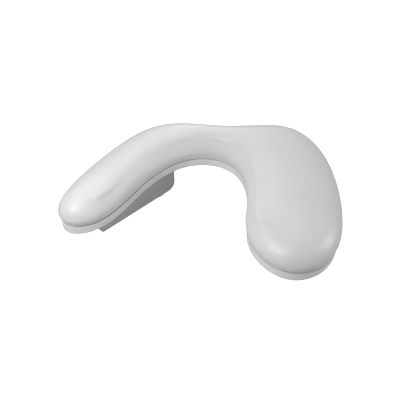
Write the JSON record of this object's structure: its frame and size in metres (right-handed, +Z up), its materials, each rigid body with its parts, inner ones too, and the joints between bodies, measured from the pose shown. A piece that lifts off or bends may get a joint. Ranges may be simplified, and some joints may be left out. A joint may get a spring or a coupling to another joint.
{
  "type": "dental chair armrest",
  "caption": "Padded bent armrest of a dental chair, with a wide elbow lobe, that swings aside on a flanged swivel.",
  "frame": {"origin": "centre of the swivel flange's lower face, on the swivel axis", "axes": "+Z up along the swivel axis; +X towards the elbow lobe, along the longest side; +Y towards the convex side of the bend"},
  "size_m": [0.4124, 0.2956, 0.113],
  "materials": {
    "cover_vinyl": "seamless semi-gloss vinyl, light neutral grey",
    "foam": "open moulded polyurethane foam",
    "plywood": "birch plywood",
    "shell_plastic": "satin moulded plastic, light neutral grey",
    "housing_plastic": "fine-grained moulded plastic, mid grey",
    "coated_steel": "powder coat",
    "zinc_steel": "zinc plated",
    "turned_steel": "turned",
    "spring_steel": "blued",
    "bush_polymer": "natural acetal"
  },
  "bodies": {
    "mount": {"pivot_flange": "turned_steel", "pivot_spindle": "turned_steel", "stop_pin": "turned_steel", "thrust_washer": "bush_polymer", "friction_washer": "zinc_steel", "disc_spring": "spring_steel", "lock_nut": "zinc_steel"},
    "armrest": {"upholstery_cover": "cover_vinyl", "foam_core": "foam", "pad_board": "plywood", "tee_nuts": "zinc_steel", "cover_staples": "zinc_steel", "lower_shell": "shell_plastic", "shell_screws": "zinc_steel", "screw_caps": "shell_plastic", "bracket_housing": "housing_plastic", "housing_screws": "zinc_steel", "bracket_plate": "coated_steel", "hub_tube": "coated_steel", "bracket_web": "coated_steel", "stop_lugs": "coated_steel", "bracket_bolts": "zinc_steel", "upper_bush": "bush_polymer", "lower_bush": "bush_polymer"}
  },
  "joints": [
    {"name": "swivel", "type": "hinge", "parent": "mount", "child": "armrest", "pos_m": [0, 0, 0], "axis": [0, 0, 1], "range_deg": [0, 100]}
  ]
}
